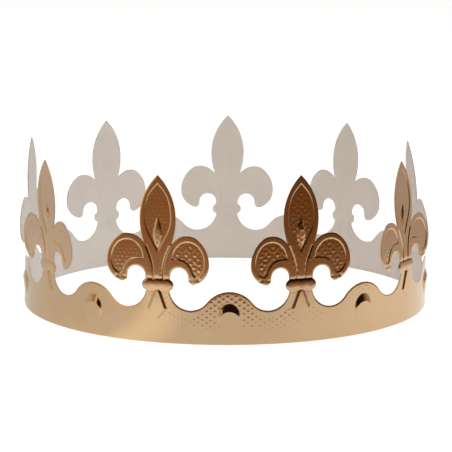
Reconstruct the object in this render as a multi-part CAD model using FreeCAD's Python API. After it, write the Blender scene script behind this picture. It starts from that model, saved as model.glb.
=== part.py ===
import FreeCAD, Part
import math
import os

from FreeCAD import Vector

# A paper crown: one embossed strip of foil-faced card, cut along its upper edge into a row of lilies
# joined by low waves, bent into a ring and glued where its ends overlap.
# Sizes are in millimetres, angles in degrees.
# The ring stands on the plane z = 0 about the Z axis, and its front looks along -Y.

# how far the short straight cuts that follow a curve may stray from it
curve_tolerance = 0.09

# the strip
crown_radius = 97.0
card_thickness = 0.5
lily_count = 9
flats_per_lily = 10
first_lily_angle = 20.0

# the wave between two lilies, measured along the strip
valley_height = 15.3
valley_distance = 15.4
valley_radius = 10.0
wave_height = 24.1

# the lily above its collar
stem_half_width = 5.6
stem_top = 23.6
head_foot = 22.6
collar_top = 28.8
collar_half_width = 7.4
hook_center_x = 10.1
hook_center_height = 30.1
hook_radius = 4.35
toe_x = 16.5
toe_height = 27.1
notch_x = 6.4
notch_height = 44.9
side_petal_low = (21.4, 29.7)
side_petal_wide = (24.1, 37.0)
side_petal_high = (22.2, 43.7)
side_petal_top = (17.2, 48.6)
side_petal_fall = (11.6, 48.7)
middle_petal_wide = (8.5, 56.5)
tip_height = 76.0

# how far each lily leans outwards, from the one at the front right and on around the right side
lily_leans = [-1.7, -3.3, -6.9, 0.1, 1.2, 0.7, 0.4, 1.9, 0.3]

# the sunk fields of the petals, as the corners of their edges
field_depth = 0.55
field_slope = 1.0
middle_field_low = 41.0
middle_field_edge = [(5.0, 50.3), (6.2, 54.0), (6.4, 58.0), (5.7, 63.2), (3.9, 67.8)]
middle_field_top = 72.6
side_field_edge = [(6.5, 38.0), (7.3, 41.5), (9.2, 44.4), (12.0, 46.3), (15.3, 46.6), (18.5, 45.3), (20.9, 42.4),
                   (22.1, 38.6), (21.9, 34.6), (20.2, 31.6), (17.8, 30.5), (16.2, 32.0), (15.0, 34.9), (12.8, 37.1),
                   (9.8, 38.0)]

# the raised drop in the middle field
drop_top = 57.3
drop_half_width = 2.2
drop_wide_height = 49.0
drop_low = 42.7

# the collar, the gore under it and the boss on the wave
collar_low = 23.8
collar_rise = 0.9
gore_rise = 0.6
gore_top_half_width = 1.5
gore_top = 23.4
gore_half_width = 4.8
gore_wide_height = 15.3
gore_low = 10.2
boss_rise = 0.9
boss_half_width = 5.1
boss_half_height = 6.6
boss_height = 12.1
boss_corners = 12

# the overlap of the two ends, on the inside of one wave at the back
overlap_wave = 5
overlap_half_width = 5.8
joint_line_width = 0.2
joint_line_depth = 0.25

lily_pitch = 360.0 / lily_count
half_pitch = math.pi * crown_radius / lily_count
outer_face = -crown_radius
inner_face = -crown_radius + card_thickness


def point_at(u, y, v):
    return Vector(u, y, v)


def mirrored(points):
    """The same points on the other side of the lily's middle line, in the opposite order."""
    return [(-u, v) for u, v in reversed(points)]


def inset(points, distance):
    """A closed outline moved inwards by a distance, with each corner moved along its bisector."""
    moved = []
    count = len(points)
    area = 0.0
    for i in range(count):
        a = points[i]
        b = points[(i + 1) % count]
        area += a[0] * b[1] - b[0] * a[1]
    side = 1.0 if area > 0 else -1.0
    for i in range(count):
        before = points[i - 1]
        here = points[i]
        after = points[(i + 1) % count]
        first = (here[0] - before[0], here[1] - before[1])
        second = (after[0] - here[0], after[1] - here[1])
        first_length = math.hypot(first[0], first[1])
        second_length = math.hypot(second[0], second[1])
        first_normal = (-first[1] * side / first_length, first[0] * side / first_length)
        second_normal = (-second[1] * side / second_length, second[0] * side / second_length)
        together = 1.0 + first_normal[0] * second_normal[0] + first_normal[1] * second_normal[1]
        reach = distance / max(together, 0.02)
        moved.append((here[0] + (first_normal[0] + second_normal[0]) * reach,
                      here[1] + (first_normal[1] + second_normal[1]) * reach))
    return moved


def prism_between(outlines):
    """A closed solid through flat outlines with the same number of corners, each side a flat face."""
    faces = [Part.Face(Part.makePolygon(outlines[0] + outlines[0][:1])),
             Part.Face(Part.makePolygon(outlines[-1] + outlines[-1][:1]))]
    for low, high in zip(outlines, outlines[1:]):
        for i in range(len(low)):
            k = (i + 1) % len(low)
            faces.append(Part.Face(Part.makePolygon([low[i], low[k], high[k], high[i], low[i]])))
    solid = Part.makeSolid(Part.makeShell(faces))
    if solid.Volume < 0:
        solid.reverse()
    return solid


def embossing(points, levels):
    """A solid through the outline at several depths: each level is a depth and how far the outline is inset."""
    return prism_between([[point_at(u, depth, v) for u, v in inset(points, step)] for depth, step in levels])


def along_arc(first, middle, last):
    """Points on the circular arc through three points, without its last point, close enough for the tolerance."""
    ax, ay = first
    bx, by = middle
    cx, cy = last
    double_area = 2.0 * (ax * (by - cy) + bx * (cy - ay) + cx * (ay - by))
    a2 = ax * ax + ay * ay
    b2 = bx * bx + by * by
    c2 = cx * cx + cy * cy
    ox = (a2 * (by - cy) + b2 * (cy - ay) + c2 * (ay - by)) / double_area
    oy = (a2 * (cx - bx) + b2 * (ax - cx) + c2 * (bx - ax)) / double_area
    radius = math.hypot(ax - ox, ay - oy)
    start = math.atan2(ay - oy, ax - ox)
    through = (math.atan2(by - oy, bx - ox) - start) % (2.0 * math.pi)
    whole = (math.atan2(cy - oy, cx - ox) - start) % (2.0 * math.pi)
    if through > whole:
        whole -= 2.0 * math.pi
    step = 2.0 * math.acos(max(0.0, 1.0 - curve_tolerance / radius))
    count = max(2, math.ceil(abs(whole) / step))
    turns = [start + whole * k / count for k in range(count)]
    return [(ox + radius * math.cos(turn), oy + radius * math.sin(turn)) for turn in turns]


def inwards(shape, distance=card_thickness):
    """A copy of the shape moved towards the crown's axis, by the card's thickness unless told otherwise."""
    copy = shape.copy()
    copy.translate(Vector(0, distance, 0))
    return copy


def turned(shape, angle):
    """A copy of the shape turned about the crown's axis."""
    copy = shape.copy()
    copy.rotate(Vector(0, 0, 0), Vector(0, 0, 1), angle)
    return copy


def across(arc):
    """The sideways distance of a point that lies this far along the curved strip."""
    return crown_radius * math.sin(arc / crown_radius)


def wave_cutter():
    """What is cut away above one wave, from the stem of one lily to the stem of the next."""
    rise = wave_height - valley_height
    gap = half_pitch - valley_distance
    radius_sum = (gap * gap + rise * rise) / (2 * rise)
    wave_radius = radius_sum - valley_radius
    valley_center = valley_height + valley_radius
    wave_center = wave_height - wave_radius
    share = wave_radius / radius_sum
    turning = (gap * share, wave_center + (valley_center - wave_center) * share)
    stem_arc = half_pitch - stem_half_width

    def valley(arc):
        return valley_center - math.sqrt(valley_radius ** 2 - (arc - gap) ** 2)

    wave_middle = turning[0] * 0.5
    on_wave = (wave_middle, wave_center + math.sqrt(wave_radius ** 2 - wave_middle ** 2))
    before = (gap + turning[0]) / 2.0
    beyond = (gap + stem_arc) / 2.0
    bottom = (gap, valley_height)
    meeting = (stem_arc, valley(stem_arc))
    right = along_arc((0.0, wave_height), on_wave, turning)
    right += along_arc(turning, (before, valley(before)), bottom)
    right += along_arc(bottom, (beyond, valley(beyond)), meeting)
    right = [(across(arc), v) for arc, v in right + [meeting, (stem_arc, stem_top)]]
    far = across(half_pitch) + 3.0
    right += [(far, stem_top), (far, tip_height)]
    outline = right + mirrored(right[1:])
    near = -crown_radius - 5.0
    return prism_between([[point_at(u, y, v) for u, v in outline] for y in (near, near + 15.0)])


def head_plate():
    """The flat head of a lily in front of the strip, with its collar's ends, side petals and middle petal."""

    def upright(wide, height):
        """How far out an arc is at a height, when it is upright at its wide point and ends on the line u = 0 or
        at the notch."""
        end = (0.0, tip_height) if height > wide[1] else (notch_x, notch_height)
        inward = wide[0] - end[0]
        drop = end[1] - wide[1]
        radius = (inward * inward + drop * drop) / (2 * inward)
        return wide[0] - radius + math.sqrt(radius ** 2 - (height - wide[1]) ** 2)

    collar_middle = (collar_low + collar_top) / 2.0
    hook_left = hook_center_x - hook_radius
    hook_right = hook_center_x + hook_radius
    notch = (notch_x, notch_height)
    toe = (toe_x, toe_height)
    hook_start = (hook_left, hook_center_height)
    hook_top = (hook_center_x, hook_center_height + hook_radius)
    hook_end = (hook_right, hook_center_height)
    heel = (hook_right + (toe_x - hook_right) * 0.3, toe_height + (hook_center_height - toe_height) * 0.28)
    above = (middle_petal_wide[1] + tip_height) / 2.0
    below = (middle_petal_wide[1] + notch_height) / 2.0
    arcs = [
        (hook_start, hook_top, hook_end),
        (hook_end, heel, toe),
        (toe, side_petal_low, side_petal_wide),
        (side_petal_wide, side_petal_high, side_petal_top),
        (side_petal_top, side_petal_fall, notch),
        (notch, (upright(middle_petal_wide, below), below), middle_petal_wide),
        (middle_petal_wide, (upright(middle_petal_wide, above), above), (0.0, tip_height)),
    ]
    right = [(stem_half_width, head_foot)]
    right += along_arc((stem_half_width, collar_low), (collar_half_width, collar_middle), (hook_left, collar_top))
    right += [(hook_left, collar_top)]
    for first, middle, last in arcs:
        right += along_arc(first, middle, last)
    outline = right + [(0.0, tip_height)] + mirrored(right)
    return prism_between([[point_at(u, y, v) for u, v in outline] for y in (outer_face, inner_face)])


def sunk_levels(depth):
    """The levels of a sunk field: from just outside the face down to its floor."""
    start = card_thickness * 0.5
    return [(outer_face - start, -start * field_slope), (outer_face + depth, depth * field_slope)]


def sunk_fields():
    """The tools that press the petals' fields into the outer face, with the drop left standing in the middle."""
    drop = [(0.0, drop_low), (drop_half_width, drop_wide_height), (0.0, drop_top), (-drop_half_width, drop_wide_height)]
    start = card_thickness * 0.5
    island = embossing(drop, [(outer_face - start, start), (outer_face + field_depth * 1.5, -field_depth)])
    middle = [(0.0, middle_field_low)] + middle_field_edge + [(0.0, middle_field_top)] + mirrored(middle_field_edge)
    tools = [embossing(middle, sunk_levels(field_depth)).cut(island)]
    for side in (1.0, -1.0):
        field = [(side * u, v) for u, v in side_field_edge]
        tools.append(embossing(field, sunk_levels(field_depth)))
    return tools


def stadium(half_width, low, high, steps):
    """An outline with straight long sides and round ends."""
    middle = (low + high) / 2.0
    radius = (high - low) / 2.0
    points = []
    for step in range(steps + 1):
        turn = math.pi * (step / steps - 0.5)
        points.append((half_width - radius + radius * math.cos(turn), middle + radius * math.sin(turn)))
    return points + mirrored(points)


def lily_head():
    """A lily's head with its embossing: fields sunk and collar raised, the card one thickness all through."""
    plate = head_plate()
    sunk = sunk_fields()
    points = stadium(collar_half_width - 0.3, collar_low + 0.1, collar_top - 0.1, 4)
    collar = embossing(points, [(outer_face + card_thickness * 0.5, 0.0), (outer_face - collar_rise * 0.65, 0.5),
                                (outer_face - collar_rise, 1.3)])
    shape = plate.fuse([inwards(tool) for tool in sunk] + [collar])
    return shape.cut(sunk + [inwards(collar)])


def gore():
    """The raised gore under a collar: wide at the level of the valleys, pointed below."""
    points = [(-gore_top_half_width, gore_top), (-gore_half_width, gore_wide_height), (0.0, gore_low),
              (gore_half_width, gore_wide_height), (gore_top_half_width, gore_top)]
    levels = [(outer_face + card_thickness * 0.8, -0.1), (outer_face - gore_rise, gore_rise)]
    return embossing(points, levels)


def boss():
    """The raised oval on the middle of a wave, as flats that shrink towards its top."""
    levels = [(-card_thickness * 0.8, 1.06), (boss_rise * 0.7, 0.75), (boss_rise, 0.35)]
    outlines = []
    for rise, share in levels:
        vectors = []
        for corner in range(boss_corners):
            turn = 2.0 * math.pi * (corner + 0.5) / boss_corners
            u = boss_half_width * share * math.cos(turn)
            v = boss_height + boss_half_height * share * math.sin(turn)
            vectors.append(point_at(u, outer_face - rise, v))
        outlines.append(vectors)
    return prism_between(outlines)


def drum(radius, height):
    """A solid drum of narrow upright flats, each this far from the axis, with one flat under every lily."""
    count = lily_count * flats_per_lily
    corner_radius = radius / math.cos(math.pi / count)
    outline = []
    for i in range(count):
        turn = 2.0 * math.pi * (i + 0.5) / count
        outline.append((corner_radius * math.sin(turn), -corner_radius * math.cos(turn)))
    return prism_between([[Vector(x, y, z) for x, y in outline] for z in (0.0, height)])


def ring(outer_radius, inner_radius, height):
    return drum(outer_radius, height).cut(drum(inner_radius, height))


def strip():
    """The ring of card with its waves, gores and bosses and the overlap of its ends."""
    height = wave_height + 1.0
    body = ring(crown_radius, crown_radius - card_thickness, height)
    overlap_angle = overlap_wave * lily_pitch
    window = Part.makeBox(2 * overlap_half_width, crown_radius, height)
    window.translate(Vector(-overlap_half_width, -crown_radius, 0))
    second_layer = ring(crown_radius - card_thickness / 2.0, crown_radius - 2 * card_thickness, height)
    overlap = turned(second_layer.common(window), overlap_angle)
    gores = [turned(gore(), first_lily_angle + i * lily_pitch) for i in range(lily_count)]
    bosses = [turned(boss(), i * lily_pitch) for i in range(lily_count)]
    hollows = [turned(inwards(gore()), first_lily_angle + i * lily_pitch) for i in range(lily_count)]
    for i in range(lily_count):
        layers = 2 if i == overlap_wave else 1
        hollows.append(turned(inwards(boss(), layers * card_thickness), i * lily_pitch))
    joint = Part.makeBox(joint_line_width, joint_line_depth * 2, height + 2.0)
    joint.translate(Vector(overlap_half_width, outer_face - joint_line_depth, -1.0))
    cutters = [turned(wave_cutter(), i * lily_pitch) for i in range(lily_count)]
    body = body.fuse([overlap] + gores + bosses)
    return body.cut(cutters + hollows + [turned(joint, overlap_angle)])


def crown():
    """The strip with a lily's head on each stem, each leaning by its own small angle."""
    head = lily_head()
    heads = []
    for i, lean in enumerate(lily_leans):
        leaning = head.copy()
        leaning.rotate(Vector(0, outer_face + card_thickness / 2.0, stem_top), Vector(1, 0, 0), lean)
        heads.append(turned(leaning, first_lily_angle + i * lily_pitch))
    return strip().fuse(heads)


os.makedirs("parts", exist_ok=True)
whole = crown()
solids = whole.Solids
print("solids", len(solids), "valid", whole.isValid(), "volume", round(whole.Volume, 1))
box = whole.BoundBox
print("box", box.XMin, box.XMax, box.YMin, box.YMax, box.ZMin, box.ZMax)
solids[0].exportStep("parts/crown_strip.step")
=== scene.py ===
import math

import bmesh
import bpy
import numpy as np
from mathutils import Matrix, Vector
from mathutils.geometry import delaunay_2d_cdt

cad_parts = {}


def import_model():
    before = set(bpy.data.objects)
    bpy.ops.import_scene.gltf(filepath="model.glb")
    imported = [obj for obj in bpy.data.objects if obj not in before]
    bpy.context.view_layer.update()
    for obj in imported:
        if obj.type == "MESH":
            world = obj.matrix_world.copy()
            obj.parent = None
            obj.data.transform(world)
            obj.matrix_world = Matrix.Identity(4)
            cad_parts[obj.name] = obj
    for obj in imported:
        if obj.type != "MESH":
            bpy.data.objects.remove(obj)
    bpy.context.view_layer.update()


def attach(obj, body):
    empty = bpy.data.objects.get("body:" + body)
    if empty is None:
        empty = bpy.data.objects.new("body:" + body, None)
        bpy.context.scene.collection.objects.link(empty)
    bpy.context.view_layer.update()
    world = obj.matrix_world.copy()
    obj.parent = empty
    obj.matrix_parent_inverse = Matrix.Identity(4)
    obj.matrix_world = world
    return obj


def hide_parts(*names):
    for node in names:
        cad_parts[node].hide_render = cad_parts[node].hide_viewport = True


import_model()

# A paper crown of embossed card, gold foil outside and plain inside.
# Sizes are in millimetres and angles in degrees until a mesh is written.
# A place on the flat card is (u, v): u along the strip and v up from its lower edge.

# the strip and its waves
CROWN_RADIUS = 97.0
CARD_THICKNESS = 0.5
LILY_COUNT = 9
FIRST_LILY_ANGLE = 20.0
VALLEY_HEIGHT = 15.3
VALLEY_DISTANCE = 15.4
VALLEY_RADIUS = 10.0
WAVE_HEIGHT = 24.1
PITCH_ANGLE = 360.0 / LILY_COUNT
HALF_PITCH = math.pi * CROWN_RADIUS / LILY_COUNT
WAVE_HALF_WIDTH = HALF_PITCH - VALLEY_DISTANCE

# the lily above its collar
STEM_HALF_WIDTH = 5.6
COLLAR_LOW = 23.8
COLLAR_TOP = 28.8
COLLAR_HALF_WIDTH = 7.4
HOOK_CENTER = (10.1, 30.1)
HOOK_RADIUS = 4.35
TOE = (16.5, 27.1)
NOTCH = (6.4, 44.9)
SIDE_PETAL_ARCS = (((21.4, 29.7), (24.1, 37.0)), ((22.2, 43.7), (17.2, 48.6)), ((11.6, 48.7), NOTCH))
MIDDLE_PETAL_ARCS = (((7.77, 49.5), (8.5, 56.5)), ((6.5, 66.5), (0.0, 75.99)))
BEND_START = 21.1
BEND_LENGTH = 5.0

# how the crown stands in the photograph, lily by lily, from the one right of the front on around its
# right side: how far along the ring each has moved, and how it leans outwards, sways sideways and twists
LILY_SHIFTS = (-0.5, -0.5, 1.0, 0.7, -0.6, -0.9, -1.2, 1.1, 0.8)
LILY_LEANS = (-1.7, -3.3, -6.9, 0.1, 1.2, 0.7, 0.4, 1.9, 0.3)
LILY_SWAYS = (-0.1, -1.1, -1.0, -1.7, 0.0, 0.3, 1.5, -0.7, -0.5)
LILY_TWISTS = (1.0, -1.7, -1.0, -5.7, -1.0, -3.4, 1.5, -0.4, 0.15)

# the embossing
FIELD_DEPTH = 0.3
FIELD_SLOPE = 0.36
MIDDLE_FIELD = ((0.0, 41.0), (2.6, 45.6), (5.0, 50.3), (6.2, 54.0), (6.4, 58.0), (5.7, 63.2),
                (3.9, 67.8), (0.0, 72.6))
SIDE_FIELD = ((6.5, 38.0), (7.3, 41.5), (9.2, 44.4), (12.0, 46.3), (15.3, 46.6), (18.5, 45.3),
              (20.9, 42.4), (22.1, 38.6), (21.9, 34.6), (20.2, 31.6), (17.8, 30.5), (16.2, 32.0),
              (15.0, 34.9), (12.8, 37.1), (9.8, 38.0), (6.5, 38.0))
DROP = ((0.0, 42.7), (1.3, 45.3), (2.2, 49.0), (1.6, 53.0), (0.0, 57.3))
VEIN = ((2.3, 29.3), (2.4, 33.0), (2.9, 36.5), (4.1, 40.2), (5.7, 44.0))
DROP_CREST = 51.5
DROP_RISE = 0.78
VEIN_HALF_WIDTH = 0.3
VEIN_DEPTH = 0.5
COLLAR_RISE = 0.32
NECK_DEPTH = 0.16
GORE = ((-1.1, 24.6), (-4.6, 15.3), (0.0, 10.2), (4.6, 15.3), (1.1, 24.6))
GORE_RISE = 0.65
GORE_SLOPE = 0.9
BOSS_RISE = 1.15
BOSS_CREASE = 15.3
BOSS_SIDE_SLOPE = 1.2
BOSS_HALF_WIDTH = 5.1
BOSS_HALF_HEIGHT = 6.6
BOSS_HEIGHT = 12.1

# the stipple of small raised domes: in rows in the petals' fields, in columns on the strip
DOME_RADIUS = 0.95
DOME_HEIGHT = 0.1
FIELD_STRENGTH = 0.62
FIELD_LATTICE = (2.1, 1.8)
STRIP_LATTICE = (2.7, 1.95)
STIPPLE_MARGIN = 1.0
VALLEY_MARGIN = 3.4
# how strong the strip's stipple is, at these places along it from the front
STIPPLE_PLACES = (-38.0, -26.0, -16.0, 22.0, 36.0, 60.0, 80.0, 100.0)
STIPPLE_STRENGTHS = (0.0, 0.75, 1.1, 1.1, 0.8, 0.6, 0.5, 0.0)

# how much of the relief shows on the inside, and how the cut edge rolls back
BACK_SHARE = 0.4
LIP_DEPTH = 0.1
LIP_WIDTH = 0.6

# the overlap of the strip's ends
OVERLAP_WAVE = 5
OVERLAP_HALF_WIDTH = 5.8
JOINT_HALF_WIDTH = 0.15
JOINT_DEPTH = 0.25

# mesh spacing
EDGE_SPACING = 0.7
ROW_SPACING = 0.6
FINE_SPACING = 0.42
COARSE_SPACING = 1.1

# how far the rows of points lie inside a cut edge, and inside the edge of a sunk field
EDGE_ROWS = (0.3, 0.6, 0.9)
FIELD_ROWS = (-0.22, 0.0, FIELD_SLOPE / 2.0, FIELD_SLOPE, 0.6)


def smoothstep(t):
    """0 below 0, 1 above 1, and 3t^2 - 2t^3 between."""
    t = np.clip(t, 0.0, 1.0)
    return t * t * (3.0 - 2.0 * t)


def arc(first, middle, last, spacing=EDGE_SPACING):
    """Points on the circle through three points, evenly spaced, the last point left out."""
    a, b, c = (np.array(point, float) for point in (first, middle, last))
    center = np.linalg.solve(2.0 * np.array([b - a, c - a]), np.array([b @ b - a @ a, c @ c - a @ a]))
    radius = np.linalg.norm(a - center)
    start, through, end = (math.atan2(*(point - center)[::-1]) for point in (a, b, c))
    through = (through - start) % (2.0 * math.pi)
    whole = (end - start) % (2.0 * math.pi)
    if through > whole:
        whole -= 2.0 * math.pi
    count = max(3, math.ceil(abs(whole) * radius / spacing))
    turn = start + whole * np.arange(count) / count
    return center + radius * np.stack([np.cos(turn), np.sin(turn)], 1)


def straight(first, last, spacing=EDGE_SPACING):
    """Evenly spaced points from one point towards another, the last point left out."""
    first, last = np.array(first, float), np.array(last, float)
    count = max(1, round(np.linalg.norm(last - first) / spacing))
    return first + (last - first) * (np.arange(count) / count)[:, None]


def smooth_through(points, spacing=ROW_SPACING):
    """A smooth open curve through points: a cubic between each two, with the slope of their neighbours'
    chord."""
    p = np.array(points, float)
    padded = np.vstack([2.0 * p[0] - p[1], p, 2.0 * p[-1] - p[-2]])
    runs = []
    for i in range(len(p) - 1):
        before, a, b, after = padded[i:i + 4]
        count = max(2, round(np.linalg.norm(b - a) / spacing))
        t = (np.arange(count) / count)[:, None]
        runs.append(0.5 * (2.0 * a + (b - before) * t + (2.0 * before - 5.0 * a + 4.0 * b - after) * t ** 2
                           + (3.0 * a - before - 3.0 * b + after) * t ** 3))
    runs.append(p[-1:])
    return np.vstack(runs)


def mirrored(points):
    """The same points on the other side of the line u = 0, in the opposite order."""
    return points[::-1] * np.array([-1.0, 1.0])


def inside_distance(points, outline):
    """How far each point lies inside a closed outline: the least distance to its sides, negative outside."""
    a = outline
    b = np.roll(outline, -1, axis=0)
    along = b - a
    length = np.maximum((along ** 2).sum(1), 1e-12)
    away = points[:, None, :] - a[None]
    share = np.clip((away * along).sum(2) / length, 0.0, 1.0)
    gap = np.sqrt(((away - share[..., None] * along) ** 2).sum(2)).min(1)
    u, v = points[:, :1], points[:, 1:]
    crosses = (a[:, 1] > v) != (b[:, 1] > v)
    rise = np.where(b[:, 1] == a[:, 1], 1.0, b[:, 1] - a[:, 1])
    left = u < a[:, 0] + (v - a[:, 1]) * along[:, 0] / rise
    return np.where((crosses & left).sum(1) % 2 == 1, gap, -gap)


def line_distance(points, line):
    """The least distance from each point to an open line of points."""
    a, b = line[:-1], line[1:]
    along = b - a
    length = np.maximum((along ** 2).sum(1), 1e-12)
    away = points[:, None, :] - a[None]
    share = np.clip((away * along).sum(2) / length, 0.0, 1.0)
    return np.sqrt(((away - share[..., None] * along) ** 2).sum(2)).min(1)


def anticlockwise(outline):
    a, b = outline, np.roll(outline, -1, axis=0)
    area = (a[:, 0] * b[:, 1] - b[:, 0] * a[:, 1]).sum()
    return outline if area > 0 else outline[::-1]


# outlines on the flat card

def lily_outline():
    """The edge of one lily with its piece of strip, from valley to valley, then the part of it that is cut
    on top, and how many of its points are the lower edge, the right border and the left border."""
    hook_x, hook_height = HOOK_CENTER
    hook_left = hook_x - HOOK_RADIUS
    hook_right = hook_x + HOOK_RADIUS
    valley_center = VALLEY_HEIGHT + VALLEY_RADIUS

    def valley(u):
        return valley_center - math.sqrt(VALLEY_RADIUS ** 2 - (VALLEY_DISTANCE - u) ** 2)

    half_way = (VALLEY_DISTANCE + STEM_HALF_WIDTH) / 2.0
    heel = (hook_right + (TOE[0] - hook_right) * 0.3, TOE[1] + (hook_height - TOE[1]) * 0.28)
    stem = (STEM_HALF_WIDTH, valley(STEM_HALF_WIDTH))
    neck = (STEM_HALF_WIDTH, COLLAR_LOW)
    right = [arc((VALLEY_DISTANCE, VALLEY_HEIGHT), (half_way, valley(half_way)), stem),
             straight(stem, neck),
             arc(neck, (COLLAR_HALF_WIDTH, (COLLAR_LOW + COLLAR_TOP) / 2.0), (hook_left, COLLAR_TOP)),
             straight((hook_left, COLLAR_TOP), (hook_left, hook_height)),
             arc((hook_left, hook_height), (hook_x, hook_height + HOOK_RADIUS), (hook_right, hook_height)),
             arc((hook_right, hook_height), heel, TOE)]
    start = TOE
    for through, end in SIDE_PETAL_ARCS + MIDDLE_PETAL_ARCS:
        right.append(arc(start, through, end))
        start = end
    right = np.vstack(right)
    low = straight((-VALLEY_DISTANCE, 0.0), (VALLEY_DISTANCE, 0.0), COARSE_SPACING)
    border = straight((VALLEY_DISTANCE, 0.0), (VALLEY_DISTANCE, VALLEY_HEIGHT), COARSE_SPACING)
    tip = np.array([[0.0, MIDDLE_PETAL_ARCS[-1][1][1]]])
    other_border = mirrored(border)[:-1]
    outline = np.vstack([low, border, right, tip, mirrored(right), other_border])
    top = np.vstack([right, tip, mirrored(right)])
    return outline, top, (len(low), len(border), len(other_border))


def wave_outline():
    """The edge of one wave, from valley to valley: two arcs that meet smoothly between valley and crest.
    Returned as lily_outline does."""
    rise = WAVE_HEIGHT - VALLEY_HEIGHT
    radius_sum = (WAVE_HALF_WIDTH ** 2 + rise ** 2) / (2.0 * rise)
    wave_radius = radius_sum - VALLEY_RADIUS
    valley_center = VALLEY_HEIGHT + VALLEY_RADIUS
    wave_center = WAVE_HEIGHT - wave_radius
    share = wave_radius / radius_sum
    turning = (WAVE_HALF_WIDTH * share, wave_center + (valley_center - wave_center) * share)
    between = (WAVE_HALF_WIDTH + turning[0]) / 2.0
    in_valley = (between, valley_center - math.sqrt(VALLEY_RADIUS ** 2 - (WAVE_HALF_WIDTH - between) ** 2))
    on_wave = (turning[0] / 2.0, wave_center + math.sqrt(wave_radius ** 2 - (turning[0] / 2.0) ** 2))
    right = np.vstack([arc((WAVE_HALF_WIDTH, VALLEY_HEIGHT), in_valley, turning),
                       arc(turning, on_wave, (0.0, WAVE_HEIGHT))])
    low = straight((-WAVE_HALF_WIDTH, 0.0), (WAVE_HALF_WIDTH, 0.0), COARSE_SPACING)
    border = straight((WAVE_HALF_WIDTH, 0.0), (WAVE_HALF_WIDTH, VALLEY_HEIGHT), COARSE_SPACING)
    crest = np.array([[0.0, WAVE_HEIGHT]])
    other_border = mirrored(border)[:-1]
    outline = np.vstack([low, border, right, crest, mirrored(right), other_border])
    top = np.vstack([right, crest, mirrored(right)])
    return outline, top, (len(low), len(border), len(other_border))


def embossed_outlines():
    """The closed edges of the fields, drop, collar and gore of a lily, and the lines of its veins."""
    middle = smooth_through(MIDDLE_FIELD)
    middle = np.vstack([middle, mirrored(middle)[1:-1]])
    side = smooth_through(SIDE_FIELD)[:-1]
    drop = smooth_through(DROP)
    drop = np.vstack([drop, mirrored(drop)[1:-1]])
    radius = (COLLAR_TOP - COLLAR_LOW) / 2.0
    collar_middle = (COLLAR_TOP + COLLAR_LOW) / 2.0
    turn = np.linspace(-0.5, 0.5, 13) * math.pi
    end = np.stack([COLLAR_HALF_WIDTH - radius + radius * np.cos(turn),
                    collar_middle + radius * np.sin(turn)], 1)
    top = straight(end[-1], end[-1] * (-1.0, 1.0), ROW_SPACING)[1:]
    collar = np.vstack([end, top, mirrored(end), mirrored(top) * (1.0, -1.0) + (0.0, 2.0 * collar_middle)])
    gore = np.array(GORE)
    vein = smooth_through(VEIN)
    return {"middle": anticlockwise(middle), "side": anticlockwise(side), "drop": anticlockwise(drop),
            "collar": anticlockwise(collar), "gore": anticlockwise(gore), "vein": vein}


SHAPES = embossed_outlines()
LILY_EDGE, LILY_TOP, LILY_SIDES = lily_outline()
WAVE_EDGE, WAVE_TOP, WAVE_SIDES = wave_outline()


# relief: how far the outer face stands in front of the plain card

def domes(along, across, lattice_size):
    """Small raised domes on a staggered lattice, each nudged and sized by a repeatable amount: the greatest
    of (1 - (d / radius)^2)^2 over the nine nearest places of the lattice."""
    pitch, row_height = lattice_size
    highest = np.zeros_like(along)
    row0 = np.floor(across / row_height)
    for down in (-1, 0, 1):
        row = row0 + down
        shift = 0.5 * (row % 2)
        column0 = np.floor(along / pitch - shift)
        for aside in (-1, 0, 1):
            column = column0 + aside
            first = np.sin(row * 12.99 + column * 78.23) * 437.58
            second = np.sin(row * 39.35 + column * 11.14) * 735.16
            first -= np.floor(first)
            second -= np.floor(second)
            gap_along = along - (column + shift + 0.5 + 0.16 * (first - 0.5)) * pitch
            gap_across = across - (row + 0.5 + 0.16 * (second - 0.5)) * row_height
            square = (gap_along ** 2 + gap_across ** 2) / DOME_RADIUS ** 2
            dome = (0.7 + 0.3 * second) * np.maximum(0.0, 1.0 - square) ** 2
            highest = np.maximum(highest, dome)
    return DOME_HEIGHT * highest


def strip_domes(place, v, edge_gap, in_valley):
    """The strip's stipple at a place along it, between its lower part and a plain margin under the cut
    edge, which is wider in the valleys."""
    strength = np.interp(place, STIPPLE_PLACES, STIPPLE_STRENGTHS)
    margin = STIPPLE_MARGIN + (VALLEY_MARGIN - STIPPLE_MARGIN) * in_valley
    strength = strength * smoothstep((edge_gap - margin) / 0.5) * smoothstep((v - 3.0) / 6.0)
    return strength * domes(v, place, STRIP_LATTICE)


def least(first, *others):
    """The least of several heights, with the corner between them rounded over a few hundredths."""
    result = first
    for other in others:
        gap = np.clip(0.5 + 0.5 * (other - result) / 0.04, 0.0, 1.0)
        result = other * (1.0 - gap) + result * gap - 0.04 * gap * (1.0 - gap)
    return result


def drop_height(u, v, drop):
    """The drop: a leaf whose ridge climbs evenly from its foot to its crest and falls to its tip, with
    round sides."""
    foot, tip = DROP[0][1], DROP[-1][1]
    ridge = np.minimum((v - foot) / (DROP_CREST - foot), (tip - v) / (tip - DROP_CREST))
    half_width = np.interp(v, [place[1] for place in DROP], [place[0] for place in DROP])
    across = np.clip(np.abs(u) / np.maximum(half_width, 0.05), 0.0, 1.0)
    return DROP_RISE * np.clip(ridge, 0.0, 1.0) * (1.0 - across ** 5) * (drop > 0.0)


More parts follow.
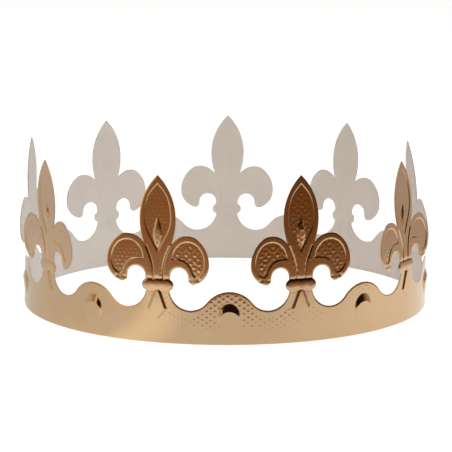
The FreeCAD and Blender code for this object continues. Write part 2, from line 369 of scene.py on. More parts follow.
def lily_relief(u, v, stipple, place):
    """Height of a lily's outer face: fields sunk by smooth steps, the drop, the collar as a flat-topped
    roll between its long sides, the gore as a low plateau, veins and the neck over the collar cut as soft
    grooves, and stipple."""
    p = np.stack([u, v], 1)
    aside = np.stack([np.abs(u), v], 1)
    middle = inside_distance(p, SHAPES["middle"])
    side = inside_distance(aside, SHAPES["side"])
    drop = inside_distance(p, SHAPES["drop"])
    collar = inside_distance(p, SHAPES["collar"])
    gore = inside_distance(p, SHAPES["gore"])
    vein = line_distance(aside, SHAPES["vein"])
    sunk = np.maximum(smoothstep(middle / FIELD_SLOPE), smoothstep(side / FIELD_SLOPE))
    relief = -FIELD_DEPTH * sunk + drop_height(u, v, drop)
    radius = (COLLAR_TOP - COLLAR_LOW) / 2.0
    roll = np.clip(collar / radius, 0.0, 1.0)
    relief += COLLAR_RISE * (1.0 - (1.0 - roll) ** 4)
    relief += GORE_RISE * smoothstep(gore / GORE_SLOPE) * (collar <= 0.0)
    groove = np.exp(-(vein / VEIN_HALF_WIDTH) ** 2) * (collar <= 0.0) * (sunk < 0.5)
    relief -= VEIN_DEPTH * groove
    relief -= NECK_DEPTH * np.exp(-((v - COLLAR_TOP - 0.3) / 0.35) ** 2) * (collar <= 0.0)
    edge_gap = line_distance(p, LILY_TOP)
    if stipple:
        stippled = smoothstep((np.maximum(middle, side) - 0.9) / 0.6) * (1.0 - smoothstep((drop + 0.6) / 0.6))
        relief += FIELD_STRENGTH * stippled * domes(u, v, FIELD_LATTICE)
        relief += strip_domes(place, v, edge_gap, 1.0) * (gore <= 0.0)
    return relief - LIP_DEPTH * (1.0 - smoothstep(edge_gap / LIP_WIDTH))


def boss_height(u, v):
    """The boss: a flat face that climbs from its foot to a crease near its top, a bevel from the top of its
    oval edge down to that crease, and steep sides."""
    foot = BOSS_HEIGHT - BOSS_HALF_HEIGHT
    face = BOSS_RISE * (v - foot) / (BOSS_CREASE - foot)
    inside = np.sqrt(np.maximum(0.0, 1.0 - (u / BOSS_HALF_WIDTH) ** 2))
    top = BOSS_HEIGHT + BOSS_HALF_HEIGHT * inside
    bevel = BOSS_RISE * (top - v) / (BOSS_HEIGHT + BOSS_HALF_HEIGHT - BOSS_CREASE)
    reach = np.sqrt((u / BOSS_HALF_WIDTH) ** 2 + ((v - BOSS_HEIGHT) / BOSS_HALF_HEIGHT) ** 2)
    side = BOSS_SIDE_SLOPE * BOSS_HALF_WIDTH * (1.0 - reach)
    return np.maximum(0.0, least(face, bevel, side)) * (reach < 1.0)


def wave_relief(u, v, stipple, joint, place):
    """Height of a wave's outer face: its boss, stipple around it, and the fine step where the strip's end
    is glued down, as a narrow groove."""
    relief = boss_height(u, v)
    relief -= joint * JOINT_DEPTH * np.exp(-((u - OVERLAP_HALF_WIDTH) / JOINT_HALF_WIDTH) ** 2)
    edge_gap = line_distance(np.stack([u, v], 1), WAVE_TOP)
    if stipple:
        reach = np.sqrt((u / BOSS_HALF_WIDTH) ** 2 + ((v - BOSS_HEIGHT) / BOSS_HALF_HEIGHT) ** 2)
        in_valley = smoothstep((np.abs(u) - 9.0) / 6.0)
        relief += strip_domes(place, v, edge_gap, in_valley) * smoothstep((reach - 1.02) / 0.1)
    return relief - LIP_DEPTH * (1.0 - smoothstep(edge_gap / LIP_WIDTH))


# meshes on the flat card

def lattice(low, high, spacing):
    """A triangular lattice of points over a box."""
    rows = np.arange(low[1], high[1], spacing * math.sqrt(0.75))
    columns = np.arange(low[0], high[0], spacing)
    u, v = np.meshgrid(columns, rows)
    u = u + 0.5 * spacing * (np.arange(len(rows)) % 2)[:, None]
    return np.stack([u.ravel(), v.ravel()], 1)


def parallel_rows(outline, distances, closed=True):
    """Rows of points beside an outline: each point moved along its normal, and kept only where it then lies
    that far from the outline."""
    if closed:
        after = np.roll(outline, -1, axis=0)
        before = np.roll(outline, 1, axis=0)
    else:
        after = np.vstack([outline[1:], 2 * outline[-1:] - outline[-2:-1]])
        before = np.vstack([2 * outline[:1] - outline[1:2], outline[:-1]])
    along = after - before
    normal = np.stack([-along[:, 1], along[:, 0]], 1) / np.linalg.norm(along, axis=1)[:, None]
    rows = []
    for distance in distances:
        row = outline + normal * distance
        gap = np.abs(inside_distance(row, outline)) if closed else line_distance(row, outline)
        rows.append(row[gap > abs(distance) - 0.06])
    return np.vstack(rows)


def spaced(points, others, gap):
    """Those points that lie at least this far from all the others."""
    kept = []
    for chunk in np.array_split(points, max(1, len(points) // 1500)):
        distance = ((chunk[:, None, :] - others[None]) ** 2).sum(2).min(1)
        kept.append(chunk[distance > gap * gap])
    return np.vstack(kept)


def thinned(points, gap):
    """Points with near doubles dropped: one is kept in each small cell of a lattice."""
    cells = np.round(points / gap).astype(int)
    _, first = np.unique(cells, axis=0, return_index=True)
    return points[np.sort(first)]


def dense(outline, spacing):
    """A closed outline's corners with more points between them."""
    ends = np.roll(outline, -1, axis=0)
    return np.vstack([straight(a, b, spacing) for a, b in zip(outline, ends)])


def triangles(outline, inner):
    """Joins an outline and the points within it into triangles, none of them outside the outline. Returns the
    points, the triangles, and the number of each outline point among them."""
    points = np.vstack([outline, inner])
    loop = list(range(len(outline)))
    made, _, faces, originals, _, _ = delaunay_2d_cdt(points.tolist(), [], [loop], 1, 1e-6)
    places = np.array([list(point) for point in made])
    faces = np.array([list(face) for face in faces])
    number = np.full(len(points), -1)
    for new, old in enumerate(originals):
        number[old] = new
    a, b, c = (places[faces[:, k]] for k in range(3))
    area = (b[:, 0] - a[:, 0]) * (c[:, 1] - a[:, 1]) - (b[:, 1] - a[:, 1]) * (c[:, 0] - a[:, 0])
    faces[area < 0] = faces[area < 0][:, ::-1]
    return places, faces, number[:len(outline)]


def fill(outline, rows, fine_zone, fine_spacing, coarse_spacing):
    """The points inside an outline: its rows first, then a fine lattice in the zone where fine_zone is
    positive and a coarse one elsewhere, none too near to another."""
    rows = thinned(rows, 0.2)
    rows = rows[inside_distance(rows, outline) > 0.18]
    low, high = outline.min(0), outline.max(0)
    points = rows
    if fine_spacing:
        fine = lattice(low, high, fine_spacing)
        fine = fine[fine_zone(fine) > 0.0]
        fine = fine[inside_distance(fine, outline) > 0.3]
        points = np.vstack([points, spaced(fine, points, 0.55 * fine_spacing)])
    coarse = lattice(low, high, coarse_spacing)
    coarse = coarse[inside_distance(coarse, outline) > 0.45]
    points = np.vstack([points, spaced(coarse, points, 0.6 * coarse_spacing)])
    return points


def lily_rows():
    """Rows of points beside the lily's outline and along its embossing, so that its steps come out crisp."""
    side = SHAPES["side"]
    gore = dense(SHAPES["gore"], ROW_SPACING)
    rows = [parallel_rows(LILY_EDGE, EDGE_ROWS),
            parallel_rows(SHAPES["middle"], FIELD_ROWS),
            parallel_rows(SHAPES["drop"], (-0.25, 0.0, 0.3, 0.7)),
            parallel_rows(gore, (-0.25, 0.0, 0.45, 0.9, 1.15)),
            parallel_rows(SHAPES["collar"], (-0.6, -0.3, 0.02, 0.3, 0.7, 1.2, 1.8))]
    side_rows = parallel_rows(side, FIELD_ROWS)
    vein_rows = parallel_rows(SHAPES["vein"], (-0.75, -0.5, -0.24, 0.0, 0.24, 0.5, 0.75), closed=False)
    return np.vstack(rows + [side_rows, side_rows * (-1.0, 1.0), vein_rows, vein_rows * (-1.0, 1.0)])


def lily_fields(points):
    """Positive within a lily's stippled fields."""
    aside = np.abs(points * (1.0, 0.0)) + points * (0.0, 1.0)
    return np.maximum(inside_distance(points, SHAPES["middle"]), inside_distance(aside, SHAPES["side"])) - 0.5


def strip_stippled(points):
    """Positive on the part of a lily's strip that may be stippled, and within its stippled fields."""
    return np.maximum(lily_fields(points), np.minimum(points[:, 1] - 4.5, VALLEY_HEIGHT - points[:, 1] + 2.0))


def wave_rows(joint):
    """Rows of points under the wave's edge, round its boss and along its crease, and beside the line of the
    joint."""
    share = BOSS_RISE / (BOSS_HEIGHT + BOSS_HALF_HEIGHT - BOSS_CREASE)
    other_share = BOSS_RISE / (BOSS_CREASE - BOSS_HEIGHT + BOSS_HALF_HEIGHT)
    u = np.linspace(-0.96, 0.96, 25) * BOSS_HALF_WIDTH
    top = BOSS_HEIGHT + BOSS_HALF_HEIGHT * np.sqrt(1.0 - (u / BOSS_HALF_WIDTH) ** 2)
    crease = (share * top + other_share * (BOSS_HEIGHT - BOSS_HALF_HEIGHT)) / (share + other_share)
    rows = [parallel_rows(WAVE_EDGE, EDGE_ROWS),
            parallel_rows(np.stack([u, crease], 1), (-0.25, 0.0, 0.25), closed=False)]
    for reach in (1.04, 0.995, 0.95, 0.9, 0.84, 0.72, 0.55, 0.3):
        count = round(37.0 * reach / ROW_SPACING)
        turn = 2.0 * math.pi * np.arange(count) / count
        rows.append(np.stack([BOSS_HALF_WIDTH * reach * np.cos(turn),
                              BOSS_HEIGHT + BOSS_HALF_HEIGHT * reach * np.sin(turn)], 1))
    if joint:
        line = straight((OVERLAP_HALF_WIDTH, 0.6), (OVERLAP_HALF_WIDTH, WAVE_HEIGHT), ROW_SPACING)
        rows.append(parallel_rows(line, (-0.5, -0.25, 0.0, 0.25, 0.5), closed=False))
    return np.vstack(rows)


def wave_stippled(points):
    """Positive on the stippled part of a wave, beside and above its boss."""
    return points[:, 1] - 4.5


# bending the flat card into the crown

def ring_angle(u, angle):
    """The angle on the standing ring, in radians, of a place u along the strip from the given angle. The
    lilies' shifts are eased from each to the next by smooth steps."""
    nominal = angle + np.degrees(u / CROWN_RADIUS)
    share = (nominal - FIRST_LILY_ANGLE) / PITCH_ANGLE
    before = np.floor(share).astype(int)
    shifts = np.array(LILY_SHIFTS)
    start, end = shifts[before % LILY_COUNT], shifts[(before + 1) % LILY_COUNT]
    return np.radians(nominal + start + (end - start) * smoothstep(share - before))


def bent_lily(u, v, out, lily):
    """The strip under a lily lies on the ring. Above the valleys it turns flat, by a smooth step in v, and
    at the collar it leans: its slope grows by a smooth step from BEND_START on, whose integral is the
    leaning height. The plate sways by turning in its own plane, and twists about its upright middle line,
    also by a smooth step."""
    angle = FIRST_LILY_ANGLE + lily * PITCH_ANGLE
    lean, sway, twist = (math.radians(table[lily]) for table in (LILY_LEANS, LILY_SWAYS, LILY_TWISTS))
    center = ring_angle(np.zeros(1), angle)[0]
    around = ring_angle(u, angle) - center
    reach = CROWN_RADIUS + out
    flat = smoothstep((v - 18.0) / 8.0)
    t = np.clip((v - BEND_START) / BEND_LENGTH, 0.0, 1.0)
    bend = smoothstep(t)
    height = BEND_LENGTH * (t ** 3 - 0.5 * t ** 4) + np.maximum(v - BEND_START - BEND_LENGTH, 0.0)
    side = u * (1.0 - bend * (1.0 - math.cos(sway))) + height * math.sin(sway)
    level = v - height * (1.0 - math.cos(sway)) - u * bend * math.sin(sway)
    x = (1.0 - flat) * reach * np.sin(around) + flat * side
    r = (1.0 - flat) * (reach * np.cos(around) - CROWN_RADIUS) + flat * out
    r = r + math.sin(lean) * height + out * (np.cos(lean * bend) - 1.0)
    z = level - (1.0 - math.cos(lean)) * height - out * np.sin(lean * bend)
    turn = twist * smoothstep((v - 16.0) / 10.0)
    x, r = x * np.cos(turn) + r * np.sin(turn), r * np.cos(turn) - x * np.sin(turn)
    return turned(np.stack([x, -CROWN_RADIUS - r, z], 1), math.degrees(center))


def bent_wave(u, v, out, angle):
    """The strip on the ring."""
    around = ring_angle(u, angle)
    reach = CROWN_RADIUS + out
    return np.stack([reach * np.sin(around), -reach * np.cos(around), v], 1)


def turned(points, angle):
    """Points turned about the crown's axis."""
    c, s = math.cos(math.radians(angle)), math.sin(math.radians(angle))
    return points @ np.array([[c, s, 0.0], [-s, c, 0.0], [0.0, 0.0, 1.0]])


# putting meshes together

def new_mesh(name, places, faces, finishes, flat_places, materials):
    """A mesh from arrays: places in millimetres, triangles, a material number for each, and a UV map that
    holds the place on the flat card in metres. Neighbouring tiles' shared points are merged."""
    mesh = bpy.data.meshes.new(name)
    mesh.from_pydata((places * 0.001).tolist(), [], faces.tolist())
    for material in materials:
        mesh.materials.append(material)
    mesh.polygons.foreach_set("material_index", finishes.astype(np.int32))
    layer = mesh.uv_layers.new(name="card")
    layer.data.foreach_set("uv", (flat_places[faces.ravel()] * 0.001).astype(np.float32).ravel())
    work = bmesh.new()
    work.from_mesh(mesh)
    bmesh.ops.remove_doubles(work, verts=work.verts[:], dist=1e-6)
    work.to_mesh(mesh)
    work.free()
    mesh.shade_smooth()
    mesh.set_sharp_from_angle(angle=math.radians(50.0))
    mesh.update()
    piece = bpy.data.objects.new(name, mesh)
    bpy.context.scene.collection.objects.link(piece)
    return piece


def edge_walls(front_loop, back_loop, low_count, border_count, other_count):
    """The cut edge between the outer and inner faces: two triangles for each step of the outline, none
    along the two borders where the next tile joins."""
    count = len(front_loop)
    steps = np.arange(count)
    on_top = (steps >= low_count + border_count) & (steps < count - other_count - 1)
    inner_step = (steps < low_count) | on_top
    i = steps[inner_step]
    j = (i + 1) % count
    first = np.stack([front_loop[i], back_loop[i], back_loop[j]], 1)
    second = np.stack([front_loop[i], back_loop[j], front_loop[j]], 1)
    return np.vstack([first, second])


class Sheet:
    """Collects the tiles of one piece: their places, triangles, material numbers and places on the flat
    card."""

    def __init__(self):
        self.places = []
        self.faces = []
        self.finishes = []
        self.flat = []
        self.count = 0

    def add(self, front, back, sides, place_front, place_back, flat_front, flat_back):
        front_points, front_faces, front_loop = front
        _, back_faces, back_loop = back
        walls = edge_walls(front_loop, back_loop + len(front_points), *sides)
        self.places += [place_front, place_back]
        self.flat += [flat_front, flat_back]
        faces = [front_faces, back_faces[:, ::-1] + len(front_points), walls]
        for finish, part in enumerate(faces):
            self.faces.append(part + self.count)
            self.finishes.append(np.full(len(part), finish))
        self.count += len(place_front) + len(place_back)

    def piece(self, name, materials):
        return new_mesh(name, np.vstack(self.places), np.vstack(self.faces), np.concatenate(self.finishes),
                        np.vstack(self.flat), materials)


def overlap_tile():
    """The edge of the second layer of card, inside one wave, with the same crest."""
    half = OVERLAP_HALF_WIDTH
    crest = WAVE_TOP[np.abs(WAVE_TOP[:, 0]) < half - 0.3]
    side_height = np.interp(half, WAVE_TOP[::-1, 0], WAVE_TOP[::-1, 1])
    low = straight((-half, 0.0), (half, 0.0), COARSE_SPACING)
    right = straight((half, 0.0), (half, side_height), COARSE_SPACING)
    left = straight((-half, side_height), (-half, 0.0), COARSE_SPACING)
    outline = np.vstack([low, right, [[half, side_height]], crest, left])
    return triangles(outline, fill(outline, lattice((-half, 0.0), (half, WAVE_HEIGHT), 1.2), None, None, 1.2))


def crown_card(materials):
    """The whole strip: nine lilies and nine waves, each bent from its flat tile and joined at the valleys,
    and the second layer where the ends overlap."""
    rows = lily_rows()
    lily_fronts = [triangles(LILY_EDGE, fill(LILY_EDGE, rows, zone, FINE_SPACING, COARSE_SPACING))
                   for zone in (lily_fields, strip_stippled)]
    lily_back = triangles(LILY_EDGE, fill(LILY_EDGE, rows, None, None, 1.6))
    rows = wave_rows(False)
    fine_wave = triangles(WAVE_EDGE, fill(WAVE_EDGE, rows, wave_stippled, FINE_SPACING, COARSE_SPACING))
    plain_wave = triangles(WAVE_EDGE, fill(WAVE_EDGE, rows, None, None, COARSE_SPACING))
    joint_wave = triangles(WAVE_EDGE, fill(WAVE_EDGE, wave_rows(True), None, None, COARSE_SPACING))
    wave_back = triangles(WAVE_EDGE, fill(WAVE_EDGE, rows, None, None, 1.6))
    sheet = Sheet()
    for i in range(LILY_COUNT):
        for tile_angle in (FIRST_LILY_ANGLE + i * PITCH_ANGLE, i * PITCH_ANGLE):
            start = ((tile_angle + 180.0) % 360.0 - 180.0) * math.radians(CROWN_RADIUS)
            shift = (start, 0.0)
            stippled = np.interp(start, STIPPLE_PLACES, STIPPLE_STRENGTHS) > 0.0
            joint = i == OVERLAP_WAVE
            if tile_angle != i * PITCH_ANGLE:
                front = lily_fronts[int(stippled)]
                u, v = front[0].T
                outer = bent_lily(u, v, lily_relief(u, v, True, start + u), i)
                u, v = lily_back[0].T
                inner = bent_lily(u, v, BACK_SHARE * lily_relief(u, v, False, u) - CARD_THICKNESS, i)
                sheet.add(front, lily_back, LILY_SIDES, outer, inner, front[0] + shift, lily_back[0] + shift)
                continue
            front = joint_wave if joint else (fine_wave if stippled else plain_wave)
            u, v = front[0].T
            outer = bent_wave(u, v, wave_relief(u, v, True, joint, start + u), tile_angle)
            u, v = wave_back[0].T
            hollow = BACK_SHARE * wave_relief(u, v, False, False, u) - CARD_THICKNESS
            inner = bent_wave(u, v, hollow, tile_angle)
            sheet.add(front, wave_back, WAVE_SIDES, outer, inner, front[0] + shift, wave_back[0] + shift)
            if joint:
                tile = overlap_tile()
                u, v = tile[0].T
                hollow = BACK_SHARE * wave_relief(u, v, False, False, u) - CARD_THICKNESS
                sheet.add(tile, tile, (0, 0, -1), bent_wave(u, v, hollow - 0.01, tile_angle),
                          bent_wave(u, v, hollow - CARD_THICKNESS, tile_angle),
                          tile[0] + shift, tile[0] + shift)
    return sheet.piece("crown_card", materials)


# materials

class Nodes:
    """Makes the nodes of one material and links them."""

    def __init__(self, name):
        self.material = bpy.data.materials.new(name)
        self.material.use_nodes = True
        self.tree = self.material.node_tree
        self.shader = self.tree.nodes["Principled BSDF"]
        self.output = self.tree.nodes["Material Output"]

    def make(self, kind, values=None, links=None, **settings):
        """A node of a kind, with its settings, its sockets' values and what they are linked to."""
        node = self.tree.nodes.new(kind)
        for key, value in settings.items():
            setattr(node, key, value)
        for key, value in (values or {}).items():
            node.inputs[key].default_value = value
        for key, socket in (links or {}).items():
            self.tree.links.new(socket, node.inputs[key])
        return node

    def link(self, socket, target):
        self.tree.links.new(socket, target)

    def card_place(self):
        """The place on the flat card in millimetres."""
        place = self.make("ShaderNodeUVMap", uv_map="card").outputs["UV"]
        wide = self.make("ShaderNodeVectorMath", {"Scale": 1000.0}, {0: place}, operation="SCALE")
        return wide.outputs[0]

    def noise(self, place, scale, detail=2.0, stretch=(1.0, 1.0, 1.0)):
        """Noise with this many bumps to the millimetre."""
        wide = self.make("ShaderNodeVectorMath", {1: stretch}, {0: place}, operation="MULTIPLY")
        values = {"Scale": scale, "Detail": detail}
        return self.make("ShaderNodeTexNoise", values, {"Vector": wide.outputs[0]}).outputs[0]

    def between(self, factor, low, high, low_result, high_result):
        """A value taken from one range to another, with both ends held."""
        values = {"From Min": low, "From Max": high, "To Min": low_result, "To Max": high_result}
        return self.make("ShaderNodeMapRange", values, {"Value": factor}).outputs[0]

    def blend(self, factor, first, second):
        """A colour between two, by a factor."""
        values = {6: (*first, 1.0), 7: (*second, 1.0)}
        return self.make("ShaderNodeMix", values, {0: factor}, data_type="RGBA").outputs[2]

    def bump(self, height, distance, normal=None):
        links = {"Height": height}
        if normal:
            links["Normal"] = normal
        return self.make("ShaderNodeBump", {"Strength": 1.0, "Distance": distance}, links).outputs[0]


def gold_foil():
    """Satin gold foil on card: metal whose tone drifts in wide patches, with the card's grain showing
    through, slow unevenness of the sheet, and fine scuffs that dull it along the strip."""
    nodes = Nodes("gold_foil")
    place = nodes.card_place()
    patches = nodes.noise(place, 0.045)
    grain = nodes.noise(place, 2.6, 3.0)
    swell = nodes.noise(place, 0.11, 1.0)
    scuffs = nodes.noise(place, 0.35, 4.0, (0.5, 5.0, 1.0))
    tone = nodes.between(patches, 0.3, 0.7, 0.0, 1.0)
    nodes.link(nodes.blend(tone, (0.69, 0.455, 0.255), (0.72, 0.49, 0.29)), nodes.shader.inputs["Base Color"])
    nodes.shader.inputs["Metallic"].default_value = 1.0
    nodes.link(nodes.between(scuffs, 0.52, 0.75, 0.15, 0.26), nodes.shader.inputs["Roughness"])
    uneven = nodes.bump(swell, 0.00005)
    nodes.link(nodes.bump(grain, 0.000013, uneven), nodes.shader.inputs["Normal"])
    return nodes.material


def white_card():
    """Uncoated card: warm white with faint mottling and the felt of its fibres."""
    nodes = Nodes("white_card")
    place = nodes.card_place()
    mottle = nodes.noise(place, 0.08, 3.0)
    fibres = nodes.noise(place, 3.2, 4.0, (1.0, 0.45, 1.0))
    tone = nodes.between(mottle, 0.3, 0.7, 0.0, 1.0)
    nodes.link(nodes.blend(tone, (0.78, 0.745, 0.72), (0.82, 0.785, 0.76)), nodes.shader.inputs["Base Color"])
    nodes.shader.inputs["Roughness"].default_value = 0.8
    nodes.shader.inputs["Specular IOR Level"].default_value = 0.25
    nodes.link(nodes.bump(fibres, 0.000013), nodes.shader.inputs["Normal"])
    return nodes.material


def cut_edge():
    """The card's cut side: its pale core, flecked by the foil's torn rim."""
    nodes = Nodes("cut_edge")
    flecks = nodes.noise(nodes.card_place(), 1.7, 3.0)
    tone = nodes.between(flecks, 0.45, 0.6, 0.0, 1.0)
    nodes.link(nodes.blend(tone, (0.6, 0.53, 0.46), (0.46, 0.34, 0.24)), nodes.shader.inputs["Base Color"])
    nodes.shader.inputs["Roughness"].default_value = 0.7
    return nodes.material


crown = crown_card([gold_foil(), white_card(), cut_edge()])
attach(crown, "root")
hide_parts("crown_strip")
print("triangles", len(crown.data.polygons))


# the stage

CAMERA_DISTANCE = 1123.6
CAMERA_HEIGHT = 250.5
CAMERA_PITCH = 5.995
CAMERA_YAW = 4.642
CAMERA_ROLL = 1.19
FOCAL_PIXELS = 2334.0
AXIS_PIXELS = (192.0, -195.0)
FRAME_PIXELS = 452.0
CROWN_TURN = 0.75


def photo_camera():
    """The photograph's camera: its place and directions, all turned about the crown's axis by the crown's
    own turn in the photograph. The photograph is a cut-out of a wider picture, so its middle lies off the
    lens's axis."""
    pitch, yaw, roll = (math.radians(a) for a in (CAMERA_PITCH, CAMERA_YAW, CAMERA_ROLL))
    ahead = np.array([math.sin(yaw) * math.cos(pitch), math.cos(yaw) * math.cos(pitch), -math.sin(pitch)])
    level = np.array([math.cos(yaw), -math.sin(yaw), 0.0])
    upright = np.cross(level, ahead)
    right = math.cos(roll) * level + math.sin(roll) * upright
    up = -math.sin(roll) * level + math.cos(roll) * upright
    place = np.array([0.0, -CAMERA_DISTANCE, CAMERA_HEIGHT]) * 0.001
    matrix = np.eye(4)
    matrix[:3, :] = turned(np.array([right, up, -ahead, place]), -CROWN_TURN).T
    data = bpy.data.cameras.new("camera")
    data.sensor_width = 36.0
    data.lens = 36.0 * FOCAL_PIXELS / FRAME_PIXELS
    data.shift_x = -AXIS_PIXELS[0] / FRAME_PIXELS
    data.shift_y = AXIS_PIXELS[1] / FRAME_PIXELS
    data.clip_end = 50.0
    camera = bpy.data.objects.new("camera", data)
    camera.matrix_world = Matrix(matrix.tolist())
    bpy.context.scene.collection.objects.link(camera)
    bpy.context.scene.camera = camera


# The floor is white. Reflections see it end all round in a glowing surround of painted reflections:
# dark and warm in front, pale at the sides.
FLOOR_SIZE = 30.0
PAINTED_FLOOR_END = 0.192
PAINTED_FLOOR_FADE = 0.016
PAINTED_FLOOR_WIDENING = 0.85
PAINTED_REFLECTION_DOME_RADIUS = 3.0
PAINTED_REFLECTION_DOME_HEIGHT = 3.2


def seen_white(nodes):
    """1 for the rays of cameras, reflections and glass, and 0 for the light that falls on the ground."""
    rays = nodes.make("ShaderNodeLightPath").outputs
    seen = nodes.make("ShaderNodeMath", {}, {0: rays["Is Camera Ray"], 1: rays["Is Glossy Ray"]},
                      operation="MAXIMUM").outputs[0]
    return nodes.make("ShaderNodeMath", {}, {0: seen, 1: rays["Is Transmission Ray"]},
                      operation="MAXIMUM").outputs[0]


def floor_material():
    nodes = Nodes("floor_white")
    seen = seen_white(nodes)
    plain = nodes.make("ShaderNodeBsdfDiffuse", {"Color": (0.8, 0.8, 0.8, 1.0)})
    faint = nodes.make("ShaderNodeBsdfDiffuse", {"Color": (0.3, 0.3, 0.3, 1.0)})
    glow = nodes.make("ShaderNodeEmission", {"Strength": 0.86})
    both = nodes.make("ShaderNodeAddShader", {}, {0: faint.outputs[0], 1: glow.outputs[0]})
    mix = nodes.make("ShaderNodeMixShader", {}, {0: seen, 1: plain.outputs[0], 2: both.outputs[0]})
    nodes.link(mix.outputs[0], nodes.output.inputs["Surface"])
    return nodes.material


def painted_reflection_material():
    """Painted reflections: a glowing surround that only reflections see, its colour painted by the direction
    from the crown: painted brown in front and painted near-black above, pale grey at the sides and behind,
    a painted soft box high at the left with a warm upright painted glint stripe, and a painted reflection
    of the white floor near the crown with a brighter painted highlight at the left of its front."""
    nodes = Nodes("painted_reflections")
    place = nodes.make("ShaderNodeTexCoord").outputs["Object"]
    x, y, z = nodes.make("ShaderNodeSeparateXYZ", {}, {0: place}).outputs
    flat = nodes.make("ShaderNodeCombineXYZ", {}, {0: x, 1: y}).outputs[0]
    wide = nodes.make("ShaderNodeVectorMath", {1: (PAINTED_FLOOR_WIDENING, 1.0, 0.0)}, {0: place},
                      operation="MULTIPLY").outputs[0]
    span = nodes.make("ShaderNodeVectorMath", {}, {0: wide}, operation="LENGTH").outputs["Value"]
    reach = nodes.make("ShaderNodeVectorMath", {}, {0: flat}, operation="LENGTH").outputs["Value"]
    ahead = nodes.make("ShaderNodeMath", {}, {0: y, 1: reach}, operation="DIVIDE").outputs[0]
    right = nodes.make("ShaderNodeMath", {}, {0: x, 1: reach}, operation="DIVIDE").outputs[0]

    def towards(direction, low, high):
        """1 for directions near the given one, 0 for others, between two cosines."""
        unit = Vector(direction).normalized()
        way = nodes.make("ShaderNodeVectorMath", {}, {0: place}, operation="NORMALIZE").outputs[0]
        cosine = nodes.make("ShaderNodeVectorMath", {1: unit}, {0: way}, operation="DOT_PRODUCT")
        return nodes.between(cosine.outputs["Value"], low, high, 0.0, 1.0)

    def aimed(direction):
        """The cosine between a level direction and the way from the axis to the place."""
        unit = nodes.make("ShaderNodeVectorMath", {}, {0: flat}, operation="NORMALIZE").outputs[0]
        values = {1: (*direction, 0.0)}
        return nodes.make("ShaderNodeVectorMath", values, {0: unit}, operation="DOT_PRODUCT").outputs["Value"]

    def over(factor, first, second):
        """A colour, given as numbers or as a socket, laid over another by a factor."""
        values = {key: (*color, 1.0) for key, color in ((6, first), (7, second)) if isinstance(color, tuple)}
        links = {key: color for key, color in ((6, first), (7, second)) if not isinstance(color, tuple)}
        return nodes.make("ShaderNodeMix", values, {0: factor, **links}, data_type="RGBA").outputs[2]

    turned_ahead = nodes.make("ShaderNodeMath", {1: -0.3}, {0: right}, operation="MULTIPLY").outputs[0]
    ahead = nodes.make("ShaderNodeMath", {}, {0: ahead, 1: turned_ahead}, operation="ADD").outputs[0]
    leftwards = nodes.between(right, -0.6, 0.6, 1.0, 0.0)
    # Painted reflections: in front a painted dark brown low down, lighter nearer the crown, and a painted
    # near-black higher up; brown between front and sides; pale grey at the sides, a painted dark high on the
    # right; near white behind.
    low_front = over(leftwards, (0.15, 0.07, 0.027), (0.27, 0.135, 0.065))
    low_front = over(nodes.between(span, 0.2, 0.42, 1.0, 0.0), low_front, (0.36, 0.2, 0.11))
    front = over(nodes.between(z, 0.05, 0.7, 0.0, 1.0), low_front, (0.012, 0.007, 0.004))
    brown = over(nodes.between(z, 0.2, 0.9, 0.0, 1.0), (0.5, 0.42, 0.38), (0.4, 0.24, 0.13))
    low_side = over(leftwards, (0.46, 0.49, 0.57), (0.6, 0.61, 0.65))
    high_side = over(leftwards, (0.1, 0.09, 0.085), (0.6, 0.58, 0.58))
    side = over(nodes.between(z, 0.05, 0.45, 0.0, 1.0), low_side, high_side)
    color = over(nodes.between(ahead, -0.55, -0.15, 0.0, 1.0), front, brown)
    color = over(nodes.between(ahead, -0.1, 0.35, 0.0, 1.0), color, side)
    color = over(nodes.between(ahead, 0.75, 1.1, 0.0, 1.0), color, (0.9, 0.9, 0.9))
    # A painted soft box high at the left: a painted highlight that glows brighter than white.
    color = over(towards((-1.0, -0.15, 1.1), 0.9, 0.94), color, (1.25, 1.1, 0.8))
    # A painted warm upright stripe at the left front, below two metres: painted glints on the foil.
    beside = nodes.between(aimed((-0.809, -0.588)), 0.991, 0.997, 0.0, 1.0)
    below = nodes.between(z, 1.5, 2.0, 1.0, 0.0)
    painted_glint_stripe = nodes.make("ShaderNodeMath", {}, {0: beside, 1: below}, operation="MULTIPLY").outputs[0]
    color = over(painted_glint_stripe, color, (1.05, 0.85, 0.55))
    # A painted reflection of the floor near the crown: darker at the far left, paler to the right, with a
    # brighter painted highlight stretch at the left of its front.
    painted_floor_reflection = over(nodes.between(right, 0.25, 0.95, 0.0, 1.0), (0.755, 0.765, 0.765), (0.95, 0.96, 0.96))
    painted_floor_reflection = over(nodes.between(right, -0.95, -0.7, 1.0, 0.0), painted_floor_reflection, (0.68, 0.69, 0.7))
    painted_floor_reflection = over(towards((-0.446, -0.895, 0.0), 0.985, 1.0), painted_floor_reflection, (1.02, 1.02, 0.95))
    color = over(nodes.between(span, PAINTED_FLOOR_END, PAINTED_FLOOR_END + PAINTED_FLOOR_FADE, 1.0, 0.0), color, painted_floor_reflection)
    # The surround glows with these painted reflection colours.
    glow = nodes.make("ShaderNodeEmission", {"Strength": 1.0}, {"Color": color})
    nodes.link(glow.outputs[0], nodes.output.inputs["Surface"])
    return nodes.material


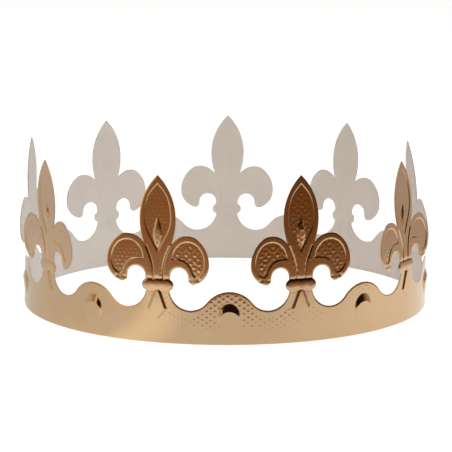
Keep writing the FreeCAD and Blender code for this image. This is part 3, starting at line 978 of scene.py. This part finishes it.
def painted_reflections():
    """A surface of revolution that carries the painted reflections: level from beside the crown to the
    dome's wall, then a dome over it.
    """
    turn = np.radians(np.arange(0.0, 360.0, 5.0))
    rise = np.radians(np.arange(0.0, 90.1, 6.0))
    reach = np.concatenate([[0.001], PAINTED_REFLECTION_DOME_RADIUS * np.cos(rise)])
    height = np.concatenate([[0.0], PAINTED_REFLECTION_DOME_HEIGHT * np.sin(rise)]) + 0.0002
    rings = np.stack([reach[:, None] * np.cos(turn), reach[:, None] * np.sin(turn),
                      np.repeat(height[:, None], len(turn), 1)], 2)
    row = np.arange(len(reach) - 1)[:, None] * len(turn)
    column = np.arange(len(turn))[None]
    after = (column + 1) % len(turn)
    above = row + len(turn)
    quads = np.stack([row + column, above + column, above + after, row + after], 2).reshape(-1, 4)
    mesh = bpy.data.meshes.new("painted_reflections")
    mesh.from_pydata(rings.reshape(-1, 3).tolist(), [], quads.tolist())
    mesh.materials.append(painted_reflection_material())
    piece = bpy.data.objects.new("painted_reflections", mesh)
    bpy.context.scene.collection.objects.link(piece)
    # Only reflections see this glowing surround: its colours are painted reflections.
    piece.visible_camera = False
    piece.visible_diffuse = False
    piece.visible_shadow = False


def floor():
    half = FLOOR_SIZE
    mesh = bpy.data.meshes.new("floor")
    corners = [(-half, -half, 0), (half, -half, 0), (half, half, 0), (-half, half, 0)]
    mesh.from_pydata(corners, [], [(0, 1, 2, 3)])
    mesh.materials.append(floor_material())
    piece = bpy.data.objects.new("floor", mesh)
    bpy.context.scene.collection.objects.link(piece)


def lamp(name, place, size, power, color):
    """A square soft lamp that looks at the crown's middle."""
    data = bpy.data.lights.new(name, "AREA")
    data.size = size
    data.energy = power
    data.color = color
    piece = bpy.data.objects.new(name, data)
    piece.location = place
    piece.rotation_euler = (Vector((0.0, 0.0, 0.03)) - Vector(place)).to_track_quat("-Z", "Y").to_euler()
    piece.visible_glossy = False
    bpy.context.scene.collection.objects.link(piece)


def world():
    """White where it is seen or reflected, and a plain soft light otherwise."""
    sky = bpy.data.worlds.new("world")
    bpy.context.scene.world = sky
    sky.use_nodes = True
    tree = sky.node_tree
    path = tree.nodes.new("ShaderNodeLightPath")
    either = tree.nodes.new("ShaderNodeMath")
    either.operation = "MAXIMUM"
    tree.links.new(path.outputs["Is Camera Ray"], either.inputs[0])
    tree.links.new(path.outputs["Is Glossy Ray"], either.inputs[1])
    any_seen = tree.nodes.new("ShaderNodeMath")
    any_seen.operation = "MAXIMUM"
    tree.links.new(either.outputs[0], any_seen.inputs[0])
    tree.links.new(path.outputs["Is Transmission Ray"], any_seen.inputs[1])
    light = tree.nodes["Background"]
    light.inputs["Color"].default_value = (1.0, 0.87, 0.74, 1.0)
    light.inputs["Strength"].default_value = 0.2
    white = tree.nodes.new("ShaderNodeBackground")
    white.inputs["Strength"].default_value = 1.0
    white.inputs["Color"].default_value = (1.0, 1.0, 1.0, 1.0)
    mix = tree.nodes.new("ShaderNodeMixShader")
    tree.links.new(any_seen.outputs[0], mix.inputs[0])
    tree.links.new(light.outputs[0], mix.inputs[1])
    tree.links.new(white.outputs[0], mix.inputs[2])
    tree.links.new(mix.outputs[0], tree.nodes["World Output"].inputs["Surface"])


photo_camera()
floor()
painted_reflections()
world()
lamp("right_lamp", (1.3, -0.5, 0.8), 1.0, 5.5, (0.96, 0.98, 1.0))
lamp("left_lamp", (-1.3, -0.5, 0.8), 1.0, 2.2, (1.0, 0.92, 0.82))
lamp("front_lamp", (-0.2, -1.5, 0.7), 1.2, 3.0, (1.0, 0.62, 0.34))
lamp("top_lamp", (0.0, 0.1, 1.6), 1.2, 18.0, (1.0, 0.97, 0.93))

bpy.context.scene.view_settings.view_transform = "Standard"
